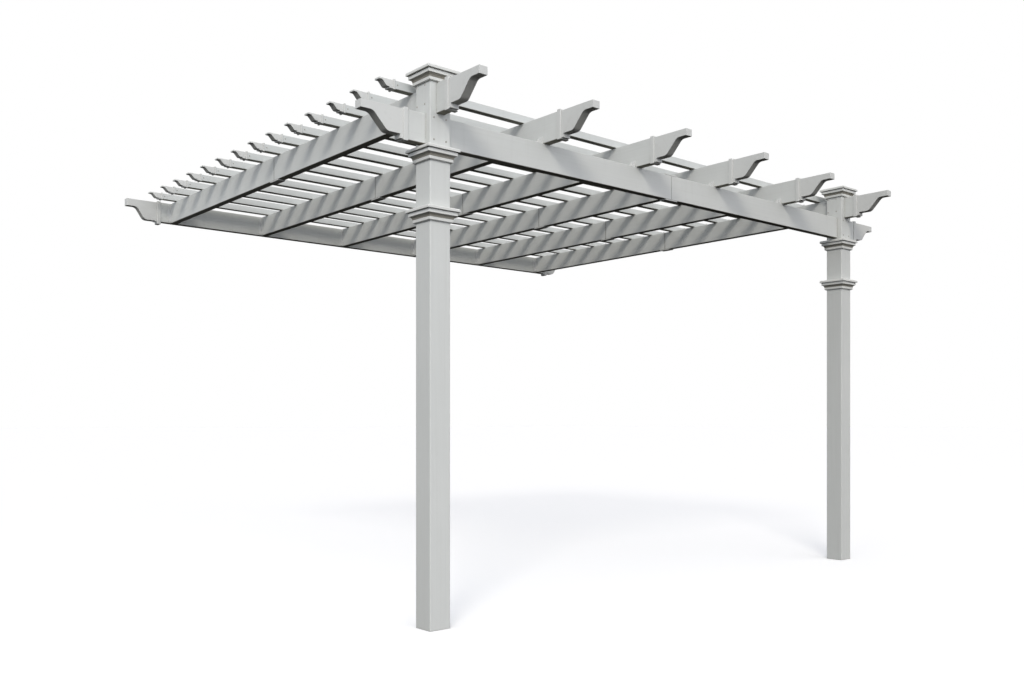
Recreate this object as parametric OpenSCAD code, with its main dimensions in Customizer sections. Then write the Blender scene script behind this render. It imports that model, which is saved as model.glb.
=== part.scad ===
// Wall-attached pergola of hollow vinyl profiles, in millimetres.
// The origin is on the back of the ledger, at its middle. +X runs along the wall,
// +Y points into the wall and +Z up, so the ground lies below the origin.

/* [Bay] */
// Distance between the centres of the two posts
post_spacing = 3820; // [3000:10:4600]
// Distance from the wall to the centres of the posts
reach = 3515; // [3000:5:4200]
// Clear height under the front beam
head_height = 2450; // [2100:10:2800]

/* [Posts] */
// Side of the square post
post_side = 127; // [110:1:160]
// Wall of the post tube
post_wall = 3.8; // [3:0.1:6]
// Rounding of the post's upright edges
post_round = 6; // [2:0.5:10]
// Space between the underside of the front beam and the upper collar
collar_gap = 14; // [2:1:40]
// Distance from the underside of the front beam down to the lower collar
collar_drop = 318; // [150:1:600]

/* [Post mouldings] */
// Height of the moulding from its lowest edge to the top of its lip
moulding_h = 72; // [66:1:90]
// How far the lip stands out from the post
lip_out = 37; // [33:1:50]
// Height of the lip
lip_h = 17; // [12:1:20]
// Rounding of the lip's upper edge
lip_round = 8; // [3:1:10]
// How far the upper band stands out from the post
upper_band_out = 27; // [25:1:30]
// Height of the upper band
upper_band_h = 17; // [12:1:20]
// How far the lower band stands out from the post
lower_band_out = 11; // [9:1:14]
// Height of the lower band
lower_band_h = 16; // [10:1:20]
// Height of each shadow line under a band or lip
quirk_h = 3; // [2:0.5:4]
// Depth of each shadow line
quirk_depth = 4; // [2:0.5:5]
// Rise of the hipped top of the post cap
cap_rise = 12; // [4:1:25]
// Space between the top of the rafters and the post cap
cap_lift = 5; // [4:1:30]
// How far the post reaches up into its cap
cap_grip = 48; // [30:1:50]

/* [Beam, rafters and ledger] */
// Thickness of the rail profile
rail_t = 51; // [40:1:70]
// Depth of the rail profile
rail_d = 152; // [130:1:180]
// Wall of the rail profile
rail_wall = 2.5; // [2:0.1:4]
// Rounding of the rail's long edges
rail_round = 3; // [1:0.5:6]
// How far the beam's tips reach beyond the post centres
beam_overhang = 442; // [390:1:520]
// How far the rafters' tips reach beyond the post centres
rafter_overhang = 410; // [370:1:500]
// How far the ledger's tips reach beyond the post centres
ledger_overhang = 361; // [330:1:500]

/* [Rail end caps] */
// Length of the scroll from the sleeve to the tip
scroll_len = 242; // [228:1:280]
// Length of the neck, which is as deep as the rail
neck_len = 16; // [4:1:30]
// Length of the level soffit at the tip
nose_len = 52; // [30:1:60]
// Height of the upright end at the tip
nose_h = 40; // [30:1:50]
// Length of the level soffit next to the neck
heel_len = 58; // [40:1:70]
// Height of the heel above the underside of the rail
heel_h = 22; // [14:1:32]
// Radius of the two bends between heel and nose
scroll_bend = 40; // [25:1:48]
// How far the scroll's top lies below the top of the rail
scroll_drop = 4; // [2:0.5:8]
// Length of the sleeve that holds the rail
sleeve_len = 29; // [20:1:50]
// How far the sleeve stands out from the rail
sleeve_out = 6; // [5:0.5:9]
// Rounding of the sleeve's rims
sleeve_edge = 4; // [1:0.5:4.5]
// Thickness of the plate that closes the sleeve
sleeve_web = 4; // [3:0.5:8]
// Length of the ledger's scrolls from the sleeve to the tip
ledger_scroll_len = 228; // [218:1:270]
// How far the ledger's sleeves hang below the ledger
ledger_sleeve_drop = 18; // [7:1:30]
// Height of the heel on the ledger's scrolls above its underside
ledger_heel_h = 4; // [2:1:10]
// Height of the upright end at the ledger's tips
ledger_nose_h = 53; // [40:1:58]

/* [Purlins] */
// Side of the square purlin
purlin_side = 44; // [38:1:56]
// Wall of the purlin
purlin_wall = 2; // [1.5:0.1:3]
// Rounding of the purlin's long edges
purlin_round = 2.5; // [1:0.5:4]
// Distance from the post centres back to the first purlin
first_purlin = 143; // [115:1:200]
// Distance from the ledger to the last purlin
last_purlin = 80; // [20:1:160]
// How far the purlins' tips reach beyond the post centres
purlin_overhang = 230; // [200:1:300]
// Length of the scroll on a purlin's end
purlin_scroll_len = 84; // [80:1:100]
// Length of the neck, which is as deep as the purlin
purlin_neck_len = 22; // [8:1:26]
// Length of the level soffit at the tip of a purlin
purlin_nose_len = 14; // [6:1:18]
// Height of the upright end at the tip of a purlin
purlin_nose_h = 8; // [5:1:12]
// Length of the level soffit next to the purlin's neck
purlin_heel_len = 12; // [4:1:16]
// Height of the purlin scroll's heel above the purlin's underside
purlin_heel_h = 6; // [4:1:10]
// Radius of the two bends of a purlin's scroll
purlin_bend = 12; // [6:1:14]
// How far the purlin scroll's top lies below the top of the purlin
purlin_scroll_drop = 2; // [1:0.5:4]
// Length of the sleeve on a purlin's end
purlin_sleeve_len = 12; // [9:1:30]
// How far the sleeve stands out from the purlin
purlin_sleeve_out = 4; // [3.5:0.5:6]
// Rounding of the purlin sleeve's rims
purlin_sleeve_edge = 2.5; // [1:0.5:3]
// Thickness of the plate that closes the purlin's sleeve
purlin_sleeve_web = 3; // [2:0.5:5]

/* [Splices and brackets] */
// Offset of the beam's splice from the middle of the bay
beam_splice_offset = -80; // [-200:5:200]
// Distance from the wall to the rafters' splices
rafter_splice = 1805; // [1500:5:2100]
// Width of the seam between two spliced lengths
seam = 3; // [1:0.5:4]
// Length of the insert that joins two lengths from inside
insert_len = 400; // [300:10:600]
// Wall of the insert
insert_wall = 3; // [2:0.5:5]
// Length of the cover plate over a splice
cover_len = 110; // [80:1:160]
// Thickness of the cover plate
cover_t = 6; // [3:0.5:10]
// Height of a rafter bracket
bracket_h = 40; // [25:1:60]
// Length of a rafter bracket's foot
bracket_foot = 26; // [18:1:50]
// Width of a rafter bracket
bracket_w = 36; // [20:1:45]
// Height of a ledger bracket
ledger_bracket_h = 130; // [80:1:140]
// Width of each leg of a ledger bracket
ledger_bracket_leg = 28; // [20:1:40]
// Thickness of the brackets
bracket_t = 3; // [2:0.5:5]

/* [Fits] */
// Clearance where one piece slides over or through another
fit = 0.3; // [0.2:0.05:1]

/* [Hidden] */
$fn = 64;
rafter_count = 6;
purlin_count = 14;
// Curves of a scroll run on by this much, so that they cross the next line and don't just touch it
crossing = 0.1;
// Largest share of the room between heel and nose that the bends of a scroll may take
bend_share = 0.9;
post_colour = "gainsboro";
rail_colour = "whitesmoke";
trim_colour = "lightgrey";
purlin_colour = "white";
steel_colour = "silver";

// Heights. The ledger and the rafters share one level, and the origin is at its middle.
rafter_z = -rail_d / 2;
rafter_top = rafter_z + rail_d;
beam_z = rafter_z - rail_d;
ground_z = beam_z - head_height;
cap_z = rafter_top + cap_lift;
post_top = cap_z + cap_grip;
upper_collar_z = beam_z - collar_gap - moulding_h;
lower_collar_z = beam_z - collar_drop - moulding_h;

// Places along the wall and away from it
post_x = post_spacing / 2;
post_y = -reach;
ledger_front = -rail_t;
rafter_pitch = post_spacing / (rafter_count - 1);
rafter_back = ledger_front;
rafter_sleeve_y = post_y - rafter_overhang + scroll_len;
beam_sleeve_x = post_x + beam_overhang - scroll_len;
ledger_sleeve_x = post_x + ledger_overhang - ledger_scroll_len;
purlin_sleeve_x = post_x + purlin_overhang - purlin_scroll_len;
first_purlin_y = post_y + first_purlin;
last_purlin_y = ledger_front - last_purlin - purlin_side;
purlin_pitch = (last_purlin_y - first_purlin_y) / (purlin_count - 1);
beam_splice_x = beam_splice_offset;
rafter_splice_y = -rafter_splice;

function rafter_x(i) = -post_x + (i - 1) * rafter_pitch;
function purlin_y(i) = first_purlin_y + (i - 1) * purlin_pitch;

// Rectangle with rounded corners, centred on the origin
module rounded_rect(w, h, r) {
    square([w - 2 * r, h], center = true);
    square([w, h - 2 * r], center = true);
    for (x = [-1, 1], y = [-1, 1])
        translate([x * (w / 2 - r), y * (h / 2 - r)]) circle(r);
}

// Section of a hollow profile, w wide and h high
module tube_section(w, h, wall, r) {
    difference() {
        rounded_rect(w, h, r);
        square([w - 2 * wall, h - 2 * wall], center = true);
    }
}

// Stands a drawn section upright and runs it along +X
module along_x(length) {
    rotate([90, 0, 90]) linear_extrude(length) children();
}

// Stands a drawn section upright and runs it along +Y
module along_y(length) {
    translate([0, length, 0]) rotate([90, 0, 0]) linear_extrude(length) children();
}

// Rail from x0 to x1, its underside at z = 0 and centred on y = 0
module rail_x(x0, x1) {
    translate([x0, 0, rail_d / 2])
        along_x(x1 - x0) tube_section(rail_t, rail_d, rail_wall, rail_round);
}

// Rail from y0 to y1, its underside at z = 0 and centred on x = 0
module rail_y(y0, y1) {
    translate([0, y0, rail_d / 2])
        along_y(y1 - y0) tube_section(rail_t, rail_d, rail_wall, rail_round);
}

// Side view of a scroll: a neck, a level heel, a belly, a straight slope, a hollow and a level nose.
// x runs from the sleeve to the tip and y up from the underside of the profile.
module scroll_outline(len, top, neck, heel_len, heel_h, nose_len, nose_h, bend) {
    nose_z = top - nose_h;
    rise = nose_z - heel_h;
    heel_x = neck + heel_len;
    nose_x = len - nose_len;
    run = nose_x - heel_x;
    // On a short scroll the room between heel and nose limits the bends
    room = (run * run + rise * rise) / (4 * rise);
    r = min(bend, bend_share * room);
    // The slope is the line that touches both bends
    apart = sqrt(run * run + pow(rise - 2 * r, 2));
    slope = atan2(rise - 2 * r, run) + asin(2 * r / apart);
    touch = r * [sin(slope), -cos(slope)];
    belly = [heel_x, heel_h + r];
    hollow = [nose_x, nose_z - r];
    difference() {
        union() {
            polygon([
                [0, 0], [neck, 0], [neck, heel_h], [heel_x, heel_h], belly + touch,
                hollow - touch, [nose_x, nose_z], [len, nose_z], [len, top], [0, top]
            ]);
            translate(belly) circle(r + crossing, $fn = 128);
        }
        translate(hollow) circle(r + crossing, $fn = 128);
    }
}

// Block with rounded rims at both ends, mitred at its corners and centred on the X axis. It ends at x = 0.
module rimmed_block(length, w, h, edge) {
    translate([-length / 2, 0, 0]) intersection() {
        rotate([90, 0, 0]) linear_extrude(w, center = true) rounded_rect(length, h, edge);
        linear_extrude(h, center = true) rounded_rect(length, w, edge);
    }
}

// Sleeve that closes over the end of a profile and hangs below it by drop.
// Its mouth faces -X and its plate ends at x = 0.
module sleeve(length, w, h, out, drop, web, edge) {
    difference() {
        translate([0, 0, (h + out - drop) / 2])
            rimmed_block(length, w + 2 * out, h + out + drop, edge);
        translate([-length - 1, -w / 2 - fit, -fit])
            cube([length + 1 - web, w + 2 * fit, h + 2 * fit]);
    }
}

// End cap of a rail, pointing along +X from the sleeve's plate
module rail_end_cap(len = scroll_len, drop = sleeve_out, heel = heel_h, nose = nose_h) {
    sleeve(sleeve_len, rail_t, rail_d, sleeve_out, drop, sleeve_web, sleeve_edge);
    rotate([90, 0, 0]) linear_extrude(rail_t, center = true)
        scroll_outline(len, rail_d - scroll_drop, neck_len,
            heel_len, heel, nose_len, nose, scroll_bend);
}

// End cap of a purlin, pointing along +X from the sleeve's plate
module purlin_end_cap() {
    sleeve(purlin_sleeve_len, purlin_side, purlin_side,
        purlin_sleeve_out, purlin_sleeve_out, purlin_sleeve_web, purlin_sleeve_edge);
    rotate([90, 0, 0]) linear_extrude(purlin_side, center = true)
        scroll_outline(purlin_scroll_len, purlin_side - purlin_scroll_drop, purlin_neck_len,
            purlin_heel_len, purlin_heel_h, purlin_nose_len, purlin_nose_h, purlin_bend);
}

// Half of the moulding's side view: x is the distance out from the post's middle
module moulding_half(rise) {
    face = post_side / 2;
    lip_z = moulding_h - lip_h;
    upper_z = lip_z - quirk_h - upper_band_h;
    lower_z = quirk_h;
    cove_z = lower_z + lower_band_h;
    cove_r = upper_z - cove_z;
    // Lower band above its shadow line
    square([face + lower_band_out - quirk_depth, cove_z]);
    translate([0, lower_z]) square([face + lower_band_out, lower_band_h]);
    // Cove between the two bands
    difference() {
        translate([0, cove_z]) square([face + upper_band_out - quirk_depth, cove_r]);
        translate([face + lower_band_out + cove_r + 1, cove_z]) circle(cove_r);
    }
    // Upper band, and the shadow line over it
    translate([0, upper_z]) square([face + upper_band_out, upper_band_h]);
    translate([0, lip_z - quirk_h - 1]) square([face + upper_band_out - quirk_depth, quirk_h + 2]);
    // Lip with its upper edge rounded
    translate([0, lip_z]) square([face + lip_out, lip_h - lip_round]);
    translate([0, lip_z]) square([face + lip_out - lip_round, lip_h]);
    translate([face + lip_out - lip_round, moulding_h - lip_round]) circle(lip_round);
    // Slope of a hipped top
    if (rise > 0)
        polygon([
            [0, moulding_h - 1], [face + lip_out - lip_round, moulding_h - 1],
            [face + lip_out - lip_round, moulding_h], [0, moulding_h + rise]
        ]);
}

// Whole side view of the moulding
module moulding_outline(rise) {
    moulding_half(rise);
    mirror([1, 0]) moulding_half(rise);
}

// Moulding mitred round a square post, as the common part of two crossing runs
module mitred_moulding(rise) {
    wide = post_side + 2 * lip_out;
    intersection() {
        translate([0, -wide / 2, 0]) along_y(wide) moulding_outline(rise);
        translate([-wide / 2, 0, 0]) along_x(wide) moulding_outline(rise);
    }
}

// Square space that a post fills, from z = -1 up to h
module post_space(h) {
    side = post_side + 2 * fit;
    translate([-side / 2, -side / 2, -1]) cube([side, side, h + 1]);
}

// Collar round a post
module collar() {
    color(trim_colour) difference() {
        mitred_moulding(0);
        post_space(moulding_h + 1);
    }
}

// Cap that closes the top of a post
module post_cap() {
    color(trim_colour) difference() {
        mitred_moulding(cap_rise);
        post_space(cap_grip);
    }
}

// Hollow post with the openings that the beam and a rafter pass through
module post() {
    hole_t = rail_t + 2 * fit;
    hole_d = rail_d + 2 * fit;
    color(post_colour) difference() {
        translate([0, 0, ground_z]) linear_extrude(post_top - ground_z)
            tube_section(post_side, post_side, post_wall, post_round);
        translate([-post_side, -hole_t / 2, beam_z - fit]) cube([2 * post_side, hole_t, hole_d]);
        translate([-hole_t / 2, -post_side, rafter_z - fit]) cube([hole_t, 2 * post_side, hole_d]);
    }
}

// Puts a piece on the left (-1) or right (1) post
module at_post(side) {
    translate([side * post_x, post_y, 0]) children();
}

// Points a cap that was drawn along +X to the left (-1) or right (1)
module facing(side) {
    if (side < 0) mirror([1, 0, 0]) children();
    else children();
}

// Insert that joins two rails from inside, centred on x = 0
module splice_insert() {
    w = rail_t - 2 * rail_wall - 2 * fit;
    h = rail_d - 2 * rail_wall - 2 * fit;
    translate([-insert_len / 2, 0, rail_d / 2])
        along_x(insert_len) difference() {
            square([w, h], center = true);
            square([w - 2 * insert_wall, h - 2 * insert_wall], center = true);
        }
}

// Cover plate centred over a splice, its lower side at z = 0
module splice_cover() {
    translate([-cover_len / 2, -rail_t / 2, 0]) cube([cover_len, rail_t, cover_t]);
}

module front_beam_left_length() {
    color(rail_colour) translate([0, post_y, beam_z])
        rail_x(-beam_sleeve_x + sleeve_web, beam_splice_x - seam / 2);
}

module front_beam_right_length() {
    color(rail_colour) translate([0, post_y, beam_z])
        rail_x(beam_splice_x + seam / 2, beam_sleeve_x - sleeve_web);
}

module front_beam_splice() {
    color(trim_colour) translate([beam_splice_x, post_y, beam_z]) {
        splice_insert();
        translate([0, 0, -cover_t]) splice_cover();
        translate([0, 0, rail_d]) splice_cover();
    }
}

module front_beam_end_cap(side) {
    color(trim_colour) translate([side * beam_sleeve_x, post_y, beam_z])
        facing(side) rail_end_cap();
}

module ledger() {
    end = ledger_sleeve_x - sleeve_web;
    color(rail_colour) translate([0, -rail_t / 2, rafter_z]) rail_x(-end, end);
}

// The sleeve is cut flush with the back of the ledger, so that it lies flat on the wall
module ledger_end_cap(side) {
    color(trim_colour) difference() {
        translate([side * ledger_sleeve_x, -rail_t / 2, rafter_z]) facing(side)
            rail_end_cap(ledger_scroll_len, ledger_sleeve_drop, ledger_heel_h, ledger_nose_h);
        translate([-2 * post_spacing, 0, rafter_z - rail_d])
            cube([4 * post_spacing, rail_t, 3 * rail_d]);
    }
}

// Rafter number i, in a front and a back length
module rafter(i) {
    color(rail_colour) translate([rafter_x(i), 0, rafter_z]) {
        rail_y(rafter_sleeve_y + sleeve_web, rafter_splice_y - seam / 2);
        rail_y(rafter_splice_y + seam / 2, rafter_back);
    }
}

module rafter_end_caps() {
    color(trim_colour) for (i = [1 : rafter_count])
        translate([rafter_x(i), rafter_sleeve_y, rafter_z]) rotate([0, 0, -90]) rail_end_cap();
}

module rafter_splices() {
    color(trim_colour) for (i = [1 : rafter_count])
        translate([rafter_x(i), rafter_splice_y, rafter_z]) rotate([0, 0, -90]) {
            splice_insert();
            translate([0, 0, -cover_t]) splice_cover();
        }
}

// Angle bracket whose corner lies on the Y axis: a foot along +X, an upright, and a gusset at each end
module angle_bracket() {
    translate([0, -bracket_w / 2, 0]) {
        along_y(bracket_w) {
            square([bracket_foot, bracket_t]);
            square([bracket_t, bracket_h]);
        }
        for (y = [0, bracket_w - bracket_t])
            translate([0, y, 0]) along_y(bracket_t) polygon([[0, 0], [bracket_foot, 0], [0, bracket_h]]);
    }
}

// Brackets on both sides of each rafter that only the beam carries
module rafter_brackets() {
    color(steel_colour) for (i = [2 : rafter_count - 1], side = [-1, 1])
        translate([rafter_x(i) + side * rail_t / 2, post_y, rafter_z])
            facing(side) angle_bracket();
}

// Upright angles on both sides of each rafter, which hold its back end to the ledger
module ledger_brackets() {
    color(steel_colour) for (i = [1 : rafter_count], side = [-1, 1])
        translate([rafter_x(i) + side * rail_t / 2, ledger_front, -ledger_bracket_h / 2])
            facing(side) linear_extrude(ledger_bracket_h) {
                translate([0, -bracket_t]) square([ledger_bracket_leg, bracket_t]);
                translate([0, -ledger_bracket_leg]) square([bracket_t, ledger_bracket_leg]);
            }
}

// Purlin number i
module purlin(i) {
    end = purlin_sleeve_x - purlin_sleeve_web;
    color(purlin_colour)
        translate([-end, purlin_y(i) + purlin_side / 2, rafter_top + purlin_side / 2])
            along_x(2 * end) tube_section(purlin_side, purlin_side, purlin_wall, purlin_round);
}

module purlin_end_caps(side) {
    color(trim_colour) for (i = [1 : purlin_count])
        translate([side * purlin_sleeve_x, purlin_y(i) + purlin_side / 2, rafter_top])
            facing(side) purlin_end_cap();
}

at_post(-1) post();  // left_post
at_post(1) post();  // right_post
at_post(-1) translate([0, 0, cap_z]) post_cap();  // left_post_cap
at_post(1) translate([0, 0, cap_z]) post_cap();  // right_post_cap
at_post(-1) translate([0, 0, upper_collar_z]) collar();  // left_upper_collar
at_post(1) translate([0, 0, upper_collar_z]) collar();  // right_upper_collar
at_post(-1) translate([0, 0, lower_collar_z]) collar();  // left_lower_collar
at_post(1) translate([0, 0, lower_collar_z]) collar();  // right_lower_collar
front_beam_left_length();
front_beam_right_length();
front_beam_splice();
front_beam_end_cap(-1);  // front_beam_left_end_cap
front_beam_end_cap(1);  // front_beam_right_end_cap
ledger();
ledger_end_cap(-1);  // ledger_left_end_cap
ledger_end_cap(1);  // ledger_right_end_cap
rafter(1);  // rafter_1
rafter(2);  // rafter_2
rafter(3);  // rafter_3
rafter(4);  // rafter_4
rafter(5);  // rafter_5
rafter(6);  // rafter_6
rafter_end_caps();
rafter_splices();
rafter_brackets();
ledger_brackets();
purlin(1);  // purlin_1
purlin(2);  // purlin_2
purlin(3);  // purlin_3
purlin(4);  // purlin_4
purlin(5);  // purlin_5
purlin(6);  // purlin_6
purlin(7);  // purlin_7
purlin(8);  // purlin_8
purlin(9);  // purlin_9
purlin(10);  // purlin_10
purlin(11);  // purlin_11
purlin(12);  // purlin_12
purlin(13);  // purlin_13
purlin(14);  // purlin_14
purlin_end_caps(-1);  // purlin_left_end_caps
purlin_end_caps(1);  // purlin_right_end_caps
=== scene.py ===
"""Looks of a wall-attached vinyl pergola: materials, screws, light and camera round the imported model."""
import math

import bmesh
import bpy
from mathutils import Matrix, Vector


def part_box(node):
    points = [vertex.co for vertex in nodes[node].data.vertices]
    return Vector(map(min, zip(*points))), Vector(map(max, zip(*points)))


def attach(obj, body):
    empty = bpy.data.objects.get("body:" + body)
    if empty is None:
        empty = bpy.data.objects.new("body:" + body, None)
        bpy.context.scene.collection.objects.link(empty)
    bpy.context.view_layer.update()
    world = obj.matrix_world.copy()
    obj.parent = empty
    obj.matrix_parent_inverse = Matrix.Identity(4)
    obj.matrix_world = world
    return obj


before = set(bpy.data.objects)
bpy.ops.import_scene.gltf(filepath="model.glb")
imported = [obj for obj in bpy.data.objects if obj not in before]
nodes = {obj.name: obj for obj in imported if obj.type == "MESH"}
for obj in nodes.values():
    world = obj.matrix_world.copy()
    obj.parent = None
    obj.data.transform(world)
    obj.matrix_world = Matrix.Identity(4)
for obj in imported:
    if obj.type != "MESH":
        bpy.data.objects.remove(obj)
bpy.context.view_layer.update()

# Directions, with the front where the posts stand
LEFT = Vector((-1, 0, 0))
RIGHT = Vector((1, 0, 0))
FRONT = Vector((0, -1, 0))
BACK = Vector((0, 1, 0))
UP = Vector((0, 0, 1))
DOWN = Vector((0, 0, -1))
# Numbers of the axes
ALONG_X = 0
ALONG_Y = 1
ALONG_Z = 2

# Places that several pieces need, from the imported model, in metres
LEFT_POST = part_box("left_post")
RIGHT_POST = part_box("right_post")
GROUND = LEFT_POST[0].z
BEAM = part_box("front_beam_left_length")
RAFTERS = [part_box(f"rafter_{i}") for i in range(1, 7)]
PURLINS = [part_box(f"purlin_{i}") for i in range(1, 15)]
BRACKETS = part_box("rafter_brackets")
LEDGER_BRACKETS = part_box("ledger_brackets")
BRACKET_WALL = 0.003
BEAM_SEAM = sum(corner.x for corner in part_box("front_beam_splice")) / 2
RAFTER_SEAM = sum(corner.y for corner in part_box("rafter_splices")) / 2
# The dirty line at a seam: how far it reaches to each side, and how far it is fully dirty
SEAM_REACH = 0.006
SEAM_CORE = 0.003
# The hollow between the two bands of a moulding, above the moulding's lowest edge
COVE_FOOT = 0.0185
COVE_HEAD = 0.0350

# Radius of each kind of screw head
POST_SCREW = 0.0052
CAP_SCREW = 0.0042
BRACKET_SCREW = 0.0040
PURLIN_SCREW = 0.0045
# Screws through a post: places beside its middle, and distances from the top and bottom of the rail inside
RAFTER_SCREWS_Y = (-0.018, 0.050)
RAFTER_SCREW_DROP = 0.006
RAFTER_SCREW_RISE = 0.050
BEAM_SCREWS_X = (-0.040, 0.036)
BEAM_SCREW_DROP = 0.022
BEAM_SCREW_RISE = 0.019
# Distance from a purlin's end cap to the screw beside it
CAP_SCREW_GAP = 0.014
# Screws through brackets, as shares of a bracket's height and of its foot's length
RAFTER_BRACKET_HEIGHTS = (0.42, 0.78)
LEDGER_BRACKET_HEIGHTS = (0.22, 0.78)
FOOT_SCREW_SHARE = 0.55

# Camera: where it stands, which way it looks and how much of the scene it takes in
CAMERA_PLACE = (-4.778, -7.502, -1.625)
CAMERA_TILT = math.radians(90)
CAMERA_YAW = math.radians(-40.43)
CAMERA_SENSOR = 36.0
CAMERA_LENS = 33.78
CAMERA_SHIFT = 0.0780
CAMERA_REACH = 400.0

# Sun: the direction in which its rays travel, how bright it is and how wide
SUN_TRAVEL = Vector((1.2, 1.1, -1.0))
SUN_STRENGTH = 1.05
SUN_WIDTH = math.radians(15)
SUN_COLOUR = (1.0, 0.94, 0.84)
# Sky: how bright it is on each side, and its tints
SKY_FRONT = 1.88
SKY_SIDE = 0.16
SKY_BACK = 0.90
SKY_TOP = 0.70
SKY_TINT = (0.965, 0.97, 1.015)
SKY_TINT_SIDE = (0.90, 0.95, 1.03)
# Where one part of the sky passes into another: cosines to the front, the last one to straight up
FRONT_EDGE = (0.25, 0.95)
BACK_EDGE = (0.0, -0.9)
TOP_EDGE = (0.25, 0.95)
# Soft lamps on the left and in front: where each stands, where it points, its side and its power
PANELS = {
    "low_panel": (Vector((-5.2, 0.0, -1.0)), Vector((-0.5, -1.6, 0.0)), 2.0, 27.0),
    "high_panel": (Vector((-6.0, -5.5, 2.6)), Vector((0.0, -3.5, 0.0)), 3.0, 60.0),
    "front_panel": (Vector((-4.0, -9.0, -1.2)), Vector((-1.0, -3.5, -0.6)), 2.4, 60.0),
}
PANEL_COLOUR = (0.87, 0.92, 1.0)
# Floor: half its side, how far it lies below the feet, and how much it glows for the camera
FLOOR_HALF = 150.0
FLOOR_GAP = 0.0005
FLOOR_GLOW = 0.20


def linear(red, green, blue):
    """Linear colour, with alpha, of a screen colour given from 0 to 255."""
    def one(value):
        share = value / 255
        return share / 12.92 if share <= 0.04045 else ((share + 0.055) / 1.055) ** 2.4
    return (one(red), one(green), one(blue), 1.0)


# Colours of the pieces, of their dirt, of painted shade and light, and of the floor
VINYL = linear(207, 209, 206)
PURLIN_VINYL = linear(207, 210, 208)
MOULDED = linear(208, 209, 206)
# Lighter than the other trim: painted light on the post mouldings, lifting bands that the lip shades
POST_TRIM_PAINTED_LIGHT = linear(217, 218, 214)
POWDER_COAT = linear(212, 213, 211)
ZINC = linear(168, 166, 160)
# Chalky weathering, and along edges partly rubbed wear, partly painted highlight
CHALK_AND_HIGHLIGHT = linear(221, 222, 219)
# Real grime in marks and rain streaks, and painted shade in corners and coves
GRIME_AND_SHADE = linear(128, 122, 108)
SOOT = linear(74, 68, 58)
# Painted shade on faces that look down
UNDERSIDE_SHADE = linear(88, 80, 56)
FLOOR_SHOWN = linear(248, 248, 248)
FLOOR_BOUNCE = linear(30, 27, 24)
WHITE = (1.0, 1.0, 1.0, 1.0)
# How strongly clean vinyl reflects, and how much rougher than the rest a coat's worn patches are
SATIN = 0.06
PATCH_ROUGH = 0.15
# How many rays look for an edge or a corner
EDGE_SAMPLES = 6


class Shader:
    """A node tree with short calls that add a node and join its sockets."""

    def __init__(self, tree):
        self.tree = tree
        self.tree.nodes.clear()

    def add(self, kind, inputs=None, **settings):
        made = self.tree.nodes.new("ShaderNode" + kind)
        for name, value in settings.items():
            setattr(made, name, value)
        for name, value in (inputs or {}).items():
            if isinstance(value, bpy.types.NodeSocket):
                self.tree.links.new(value, made.inputs[name])
            else:
                made.inputs[name].default_value = value
        return made

    def math(self, operation, a, b):
        return self.add("Math", {0: a, 1: b}, operation=operation).outputs[0]

    def dot(self, a, b):
        """Cosine between two directions."""
        return self.add("VectorMath", {0: a, 1: b}, operation="DOT_PRODUCT").outputs["Value"]

    def spread(self, value, start, end, to_start=0.0, to_end=1.0):
        """value taken from the range between start and end into another range, and kept inside it."""
        inputs = {"Value": value, "From Min": start, "From Max": end, "To Min": to_start, "To Max": to_end}
        return self.add("MapRange", inputs, clamp=True).outputs[0]

    def mix(self, share, a, b):
        """Colour a, or b where share is 1."""
        return self.add("Mix", {"Factor": share, "A": a, "B": b}, data_type="RGBA").outputs["Result"]

    def mark(self, below, colour, pattern, share, start=0.0, full=1.0):
        """The colour below, with a share of another as the pattern's value goes from start to full."""
        return self.mix(self.spread(pattern, start, full, to_end=share), below, colour)

    def place(self):
        """The place on the object, which patterns follow."""
        return self.add("TexCoord").outputs["Object"]

    def noise(self, place, scale, detail, rough):
        inputs = {"Vector": place, "Scale": scale, "Detail": detail, "Roughness": rough}
        return self.add("TexNoise", inputs).outputs[0]

    def along(self, place, axis):
        """One coordinate of a place."""
        return self.add("SeparateXYZ", {0: place}).outputs[axis]

    def stretched(self, place, scale):
        return self.add("Mapping", {"Vector": place, "Scale": scale}).outputs[0]

    def relief(self, height, strength, depth, normal):
        """The normal, tilted by a fine relief."""
        inputs = {"Height": height, "Strength": strength, "Distance": depth, "Normal": normal}
        return self.add("Bump", inputs).outputs[0]

    def edges(self, radius):
        """Rounded normal, and a value that rises to 1 along edges."""
        rounded = self.add("Bevel", {"Radius": radius}, samples=EDGE_SAMPLES).outputs[0]
        flat = self.add("NewGeometry").outputs["Normal"]
        return rounded, self.spread(self.dot(rounded, flat), start=0.995, end=0.86)

    def corners(self, reach):
        """Value that rises to 1 in corners that nearby parts shade, where painted shade goes."""
        open_share = self.add("AmbientOcclusion", {"Distance": reach}, samples=EDGE_SAMPLES).outputs["AO"]
        return self.spread(open_share, start=0.72, end=0.18)

    def underside(self):
        """Value that rises to 1 on faces that look down, which get painted shade and never shine."""
        normal = self.add("NewGeometry").outputs["Normal"]
        return self.spread(self.dot(normal, DOWN), start=0.12, end=0.55)

    def seen(self):
        """1 for rays that show a thing or its reflection, 0 for those that only carry light."""
        path = self.add("LightPath").outputs
        shown = self.math("MAXIMUM", path["Is Camera Ray"], path["Is Glossy Ray"])
        return self.math("MAXIMUM", shown, path["Is Transmission Ray"])

    def cover(self, inputs):
        """Ends the tree with one surface that has the given inputs."""
        surface = self.add("BsdfPrincipled", inputs)
        self.add("OutputMaterial", {"Surface": surface.outputs[0]})


def new_material(name):
    material = bpy.data.materials.new(name)
    material.use_nodes = True
    return material, Shader(material.node_tree)


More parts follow.
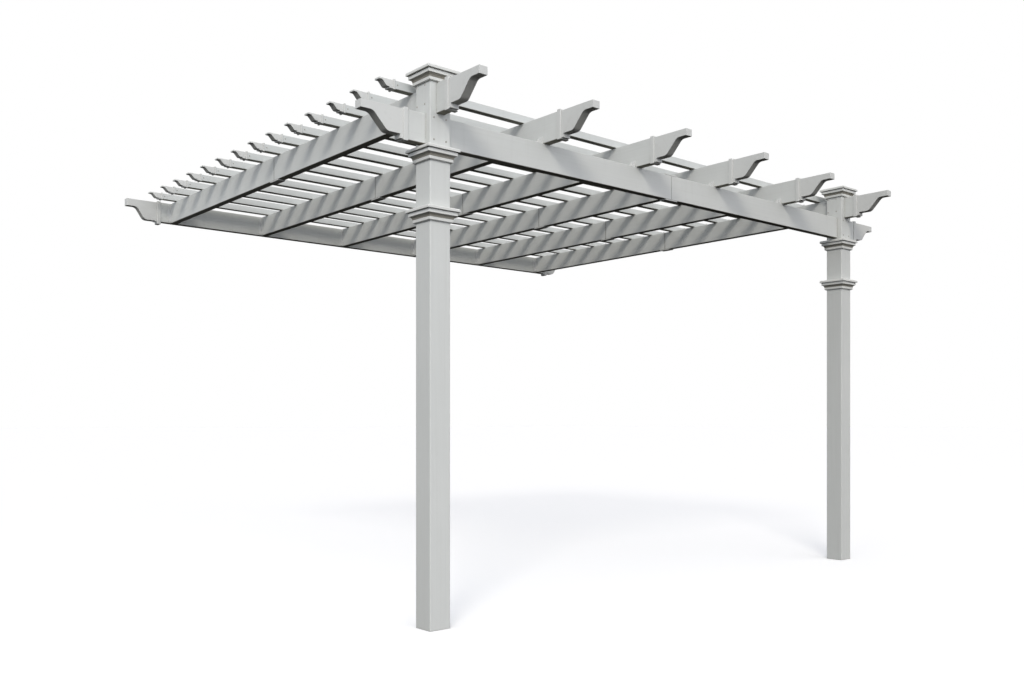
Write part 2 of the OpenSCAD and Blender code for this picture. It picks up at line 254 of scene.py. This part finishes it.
def vinyl(name, colour, run, seam=None, seam_dirt=0.0):
    """Extruded vinyl: faint lines along the profile, chalky weathering, rain marks, painted shade in
    corners and on undersides, and edges lighter from wear and painted highlight.

    seam is the place, along the run, of the joint between two lengths, where dirt has gathered.
    """
    material, s = new_material(name)
    place = s.place()
    rounded, edge = s.edges(radius=0.0025)
    corner = s.corners(reach=0.025)
    under = s.underside()
    drawn_out = [1.0, 1.0, 1.0]
    drawn_out[run] = 0.012
    run_down = (1.0, 1.0, 0.07)
    lines = s.noise(s.stretched(place, drawn_out), scale=110, detail=4, rough=0.6)
    clouds = s.noise(place, scale=1.7, detail=5, rough=0.6)
    rain = s.noise(s.stretched(place, run_down), scale=34, detail=4, rough=0.65)
    pores = s.noise(place, scale=1300, detail=2, rough=0.5)

    shade = s.mark(colour, CHALK_AND_HIGHLIGHT, clouds, share=0.35, start=0.35, full=0.75)
    shade = s.mark(shade, GRIME_AND_SHADE, lines, share=0.06, start=0.45, full=0.80)
    shade = s.mark(shade, GRIME_AND_SHADE, rain, share=0.06, start=0.56, full=0.80)
    # Painted shade: darker in corners that nearby parts shade
    shade = s.mark(shade, GRIME_AND_SHADE, corner, share=0.45)
    # Lighter along edges: partly rubbed wear, partly painted highlight
    shade = s.mark(shade, CHALK_AND_HIGHLIGHT, edge, share=0.30)
    # Painted shade: darker and browner on faces that look down
    shade = s.mark(shade, UNDERSIDE_SHADE, under, share=0.72)
    if seam is not None:
        off = s.math("ABSOLUTE", s.math("SUBTRACT", s.along(place, run), seam), 0.0)
        shade = s.mark(shade, SOOT, off, share=seam_dirt, start=SEAM_REACH, full=SEAM_CORE)

    grain = s.relief(lines, strength=0.05, depth=0.001, normal=rounded)
    skin = s.relief(pores, strength=0.06, depth=0.0004, normal=grain)
    rough = s.spread(clouds, start=0.3, end=0.8, to_start=0.52, to_end=0.68)
    shine = s.spread(under, start=0.0, end=1.0, to_start=SATIN, to_end=0.0)
    s.cover({"Base Color": shade, "Roughness": rough, "Specular IOR Level": shine, "Normal": skin})
    return material


def moulded(name, colour, base=None):
    """Moulded vinyl: a faint orange peel, edges lighter from wear and painted highlight, and painted shade
    in corners and on undersides.

    base is the height of the lowest edge of a post moulding, whose cove is darkened with painted shade.
    """
    material, s = new_material(name)
    place = s.place()
    rounded, edge = s.edges(radius=0.003)
    corner = s.corners(reach=0.014)
    under = s.underside()
    clouds = s.noise(place, scale=3.1, detail=5, rough=0.6)
    peel = s.noise(place, scale=420, detail=2, rough=0.5)
    dust = s.noise(place, scale=26, detail=4, rough=0.6)

    shade = s.mark(colour, CHALK_AND_HIGHLIGHT, clouds, share=0.40, start=0.35, full=0.75)
    shade = s.mark(shade, GRIME_AND_SHADE, dust, share=0.10, start=0.55, full=0.80)
    # Painted shade: darker in corners that nearby parts shade
    shade = s.mark(shade, GRIME_AND_SHADE, corner, share=0.55)
    # Lighter along edges: partly rubbed wear, partly painted highlight
    shade = s.mark(shade, CHALK_AND_HIGHLIGHT, edge, share=0.40)
    # Painted shade: darker and browner on faces that look down
    shade = s.mark(shade, UNDERSIDE_SHADE, under, share=0.50)
    # Painted shade: the cove darker, most at its foot
    if base is not None:
        rise = s.math("SUBTRACT", s.along(place, ALONG_Z), base)
        above_foot = s.math("GREATER_THAN", rise, COVE_FOOT)
        below_head = s.math("LESS_THAN", rise, COVE_HEAD)
        inside = s.math("MULTIPLY", above_foot, below_head)
        cove_shade = s.spread(rise, COVE_FOOT, COVE_HEAD, to_start=0.92, to_end=0.45)
        shade = s.mix(s.math("MULTIPLY", inside, cove_shade), shade, GRIME_AND_SHADE)

    skin = s.relief(peel, strength=0.07, depth=0.0006, normal=rounded)
    rough = s.spread(clouds, start=0.3, end=0.8, to_start=0.50, to_end=0.64)
    shine = s.spread(under, start=0.0, end=1.0, to_start=SATIN, to_end=0.0)
    s.cover({"Base Color": shade, "Roughness": rough, "Specular IOR Level": shine, "Normal": skin})
    return material


def painted_metal(name, colour, metallic, smoothest):
    """Coated metal: a grainy coat that is rubbed thin along its edges."""
    material, s = new_material(name)
    place = s.place()
    rounded, edge = s.edges(radius=0.001)
    grain = s.noise(place, scale=900, detail=2, rough=0.5)
    patches = s.noise(place, scale=40, detail=4, rough=0.6)
    shade = s.mark(colour, GRIME_AND_SHADE, patches, share=0.12, start=0.55, full=0.85)
    shade = s.mark(shade, ZINC, edge, share=0.35)
    skin = s.relief(grain, strength=0.1, depth=0.0003, normal=rounded)
    rough = s.spread(patches, start=0.3, end=0.8, to_start=smoothest, to_end=smoothest + PATCH_ROUGH)
    s.cover({"Base Color": shade, "Roughness": rough, "Metallic": metallic, "Normal": skin})
    return material


def dress_nodes():
    """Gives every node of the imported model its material."""
    rail_x = vinyl("rail_vinyl_x", VINYL, ALONG_X)
    beam = vinyl("beam_vinyl", VINYL, ALONG_X, BEAM_SEAM, seam_dirt=0.05)
    rafter = vinyl("rafter_vinyl", VINYL, ALONG_Y, RAFTER_SEAM, seam_dirt=0.4)
    post = vinyl("post_vinyl", VINYL, ALONG_Z)
    purlin = vinyl("purlin_vinyl", PURLIN_VINYL, ALONG_X)
    trim = moulded("moulded_trim", MOULDED)
    mouldings = {
        kind: moulded(kind + "_trim", POST_TRIM_PAINTED_LIGHT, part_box("left_" + kind)[0].z)
        for kind in ("post_cap", "upper_collar", "lower_collar")
    }
    coated = painted_metal("bracket_coat", POWDER_COAT, metallic=0.0, smoothest=0.4)

    def finish_of(name):
        if "bracket" in name:
            return coated
        for kind, finish in mouldings.items():
            if name.endswith(kind):
                return finish
        if any(word in name for word in ("cap", "splice")):
            return trim
        if name.startswith("purlin"):
            return purlin
        if name.startswith("rafter"):
            return rafter
        if name.startswith("front_beam"):
            return beam
        return post if name.endswith("post") else rail_x

    for name, piece in nodes.items():
        piece.data.materials.clear()
        piece.data.materials.append(finish_of(name))


def put(name, data):
    """Puts a new object into the scene."""
    made = bpy.data.objects.new(name, data)
    bpy.context.scene.collection.objects.link(made)
    return made


def screw_head(mesh, place, out, radius):
    """Adds a domed screw head with a square socket to mesh, seated at place and facing out."""
    sides = 16
    angles = [2 * math.pi * k / sides for k in range(sides)]
    circle = [Vector((math.cos(a), math.sin(a), 0)) for a in angles]
    square = [point / max(abs(point.x), abs(point.y)) for point in circle]
    # Rings from the rim in to the socket's floor: width and height as shares of the radius
    dome = [(1.0, -0.1), (1.0, 0.12), (0.9, 0.28), (0.65, 0.42), (0.36, 0.48)]
    socket = [(0.30, 0.46), (0.28, 0.10)]
    rings = [(circle, *size) for size in dome] + [(square, *size) for size in socket]
    seat = Matrix.Translation(place) @ UP.rotation_difference(out).to_matrix().to_4x4()
    rows = []
    for outline, wide, high in rings:
        points = [radius * (wide * point + high * UP) for point in outline]
        rows.append([mesh.verts.new(seat @ point) for point in points])
    for lower, upper in zip(rows, rows[1:]):
        for k in range(sides):
            n = (k + 1) % sides
            mesh.faces.new((lower[k], lower[n], upper[n], upper[k]))
    mesh.faces.new(rows[-1])
    mesh.faces.new(list(reversed(rows[0])))


def screws(name, seats, radius, material):
    """One piece of many screw heads. Each seat is a place and the direction that its head faces."""
    mesh = bmesh.new()
    for place, out in seats:
        screw_head(mesh, Vector(place), out, radius)
    bmesh.ops.recalc_face_normals(mesh, faces=mesh.faces)
    data = bpy.data.meshes.new(name)
    mesh.to_mesh(data)
    mesh.free()
    for face in data.polygons:
        face.use_smooth = True
    data.materials.append(material)
    piece = put(name, data)
    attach(piece, "root")


def post_screws(post):
    """Four screws through each side wall into the rafter, and four through front and back into the beam."""
    low, high = post
    middle = (low + high) / 2
    rafter_low, rafter_high = RAFTERS[0]
    beam_low, beam_high = BEAM
    seats = []
    for x, out in ((low.x, LEFT), (high.x, RIGHT)):
        for aside in RAFTER_SCREWS_Y:
            for z in (rafter_high.z - RAFTER_SCREW_DROP, rafter_low.z + RAFTER_SCREW_RISE):
                seats.append(((x, middle.y + aside, z), out))
    for y, out in ((low.y, FRONT), (high.y, BACK)):
        for aside in BEAM_SCREWS_X:
            for z in (beam_high.z - BEAM_SCREW_DROP, beam_low.z + BEAM_SCREW_RISE):
                seats.append(((middle.x + aside, y, z), out))
    return seats


def cap_screws():
    """One screw through the front and the back of each purlin, beside its end cap's sleeve."""
    seats = []
    left_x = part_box("purlin_left_end_caps")[1].x + CAP_SCREW_GAP
    right_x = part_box("purlin_right_end_caps")[0].x - CAP_SCREW_GAP
    for x in (left_x, right_x):
        for low, high in PURLINS:
            mid_z = (low.z + high.z) / 2
            seats.append(((x, low.y, mid_z), FRONT))
            seats.append(((x, high.y, mid_z), BACK))
    return seats


def bracket_screws():
    """Two screws through each bracket's upright into its rafter, and one through its foot into the beam."""
    seats = []
    low, high = BRACKETS
    mid_y = (low.y + high.y) / 2
    foot = RAFTERS[1][0].x - low.x
    for rafter_low, rafter_high in RAFTERS[1:-1]:
        for x, out in ((rafter_low.x, LEFT), (rafter_high.x, RIGHT)):
            for share in RAFTER_BRACKET_HEIGHTS:
                z = low.z + share * (high.z - low.z)
                seats.append(((x + out.x * BRACKET_WALL, mid_y, z), out))
            foot_x = x + out.x * FOOT_SCREW_SHARE * foot
            seats.append(((foot_x, mid_y, low.z + BRACKET_WALL), UP))
    return seats


def ledger_bracket_screws():
    """Two screws through each leg of the angles at the ledger, into the rafter and into the ledger."""
    seats = []
    low, high = LEDGER_BRACKETS
    half_leg = (RAFTERS[0][0].x - low.x) / 2
    mid_y = (low.y + high.y) / 2
    for rafter_low, rafter_high in RAFTERS:
        for x, out in ((rafter_low.x, LEFT), (rafter_high.x, RIGHT)):
            for share in LEDGER_BRACKET_HEIGHTS:
                z = low.z + share * (high.z - low.z)
                seats.append(((x + out.x * BRACKET_WALL, mid_y, z), out))
                seats.append(((x + out.x * half_leg, high.y - BRACKET_WALL, z), FRONT))
    return seats


def purlin_screws():
    """A screw down through each purlin into each rafter."""
    seats = []
    for purlin_low, purlin_high in PURLINS:
        for rafter_low, rafter_high in RAFTERS:
            x = (rafter_low.x + rafter_high.x) / 2
            y = (purlin_low.y + purlin_high.y) / 2
            seats.append(((x, y, purlin_high.z), UP))
    return seats


def add_fasteners():
    coat = painted_metal("screw_coat", POWDER_COAT, metallic=0.15, smoothest=0.42)
    zinc = painted_metal("screw_zinc", ZINC, metallic=0.6, smoothest=0.38)
    screws("left_post_screws", post_screws(LEFT_POST), POST_SCREW, zinc)
    screws("right_post_screws", post_screws(RIGHT_POST), POST_SCREW, zinc)
    screws("cap_screws", cap_screws(), CAP_SCREW, zinc)
    screws("rafter_bracket_screws", bracket_screws(), BRACKET_SCREW, coat)
    screws("ledger_bracket_screws", ledger_bracket_screws(), BRACKET_SCREW, coat)
    screws("purlin_screws", purlin_screws(), PURLIN_SCREW, coat)


def add_floor():
    """Pale floor that shows white with the object's shadow, and throws little light back up."""
    mesh = bpy.data.meshes.new("floor")
    z = GROUND - FLOOR_GAP
    signs = ((-1, -1), (1, -1), (1, 1), (-1, 1))
    corners = [(FLOOR_HALF * across, FLOOR_HALF * back, z) for across, back in signs]
    mesh.from_pydata(corners, [], [(0, 1, 2, 3)])
    material, s = new_material("floor")
    lit = s.add("BsdfDiffuse", {"Color": FLOOR_SHOWN})
    glow = s.add("Emission", {"Color": FLOOR_SHOWN, "Strength": FLOOR_GLOW})
    shown = s.add("AddShader", {0: lit.outputs[0], 1: glow.outputs[0]})
    bounce = s.add("BsdfDiffuse", {"Color": FLOOR_BOUNCE})
    blend = s.add("MixShader", {0: s.seen(), 1: bounce.outputs[0], 2: shown.outputs[0]})
    s.add("OutputMaterial", {"Surface": blend.outputs[0]})
    mesh.materials.append(material)
    floor = put("floor", mesh)


def add_world():
    """Soft light all round, brightest from the front, behind a white that the camera sees."""
    world = bpy.data.worlds.new("studio")
    world.use_nodes = True
    bpy.context.scene.world = world
    s = Shader(world.node_tree)
    ray = s.add("TexCoord").outputs["Generated"]
    front = s.dot(ray, FRONT)
    up = s.dot(ray, UP)

    def light_of(level, tint):
        return tuple(level * part for part in tint) + (1.0,)

    sky = light_of(SKY_SIDE, SKY_TINT_SIDE)
    sky = s.mix(s.spread(front, *FRONT_EDGE), sky, light_of(SKY_FRONT, SKY_TINT))
    sky = s.mix(s.spread(front, *BACK_EDGE), sky, light_of(SKY_BACK, SKY_TINT_SIDE))
    sky = s.mix(s.spread(up, *TOP_EDGE), sky, light_of(SKY_TOP, SKY_TINT))
    light = s.add("Background", {"Color": sky, "Strength": 1.0})
    white = s.add("Background", {"Color": WHITE, "Strength": 1.0})
    blend = s.add("MixShader", {0: s.seen(), 1: light.outputs[0], 2: white.outputs[0]})
    s.add("OutputWorld", {"Surface": blend.outputs[0]})


def turned(direction):
    """Turn that makes a lamp shine in a direction."""
    return direction.to_track_quat("-Z", "Y").to_euler()


def add_sun():
    lamp = bpy.data.lights.new("sun", "SUN")
    lamp.energy = SUN_STRENGTH
    lamp.angle = SUN_WIDTH
    lamp.color = SUN_COLOUR
    sun = put("sun", lamp)
    sun.rotation_euler = turned(SUN_TRAVEL)


def add_panels():
    """Soft lamps on the left and in front, so that the light fades towards the right."""
    for name, (place, aim, side, power) in PANELS.items():
        lamp = bpy.data.lights.new(name, "AREA")
        lamp.shape = "SQUARE"
        lamp.size = side
        lamp.energy = power
        lamp.color = PANEL_COLOUR
        panel = put(name, lamp)
        panel.location = place
        panel.rotation_euler = turned(aim - place)
        panel.visible_camera = False


def add_camera():
    data = bpy.data.cameras.new("camera")
    data.sensor_width = CAMERA_SENSOR
    data.lens = CAMERA_LENS
    data.shift_y = CAMERA_SHIFT
    data.clip_end = CAMERA_REACH
    camera = put("camera", data)
    camera.location = CAMERA_PLACE
    camera.rotation_euler = (CAMERA_TILT, 0.0, CAMERA_YAW)
    bpy.context.scene.camera = camera


dress_nodes()
add_fasteners()
add_floor()
add_world()
add_sun()
add_panels()
add_camera()
bpy.context.scene.view_settings.view_transform = "Standard"
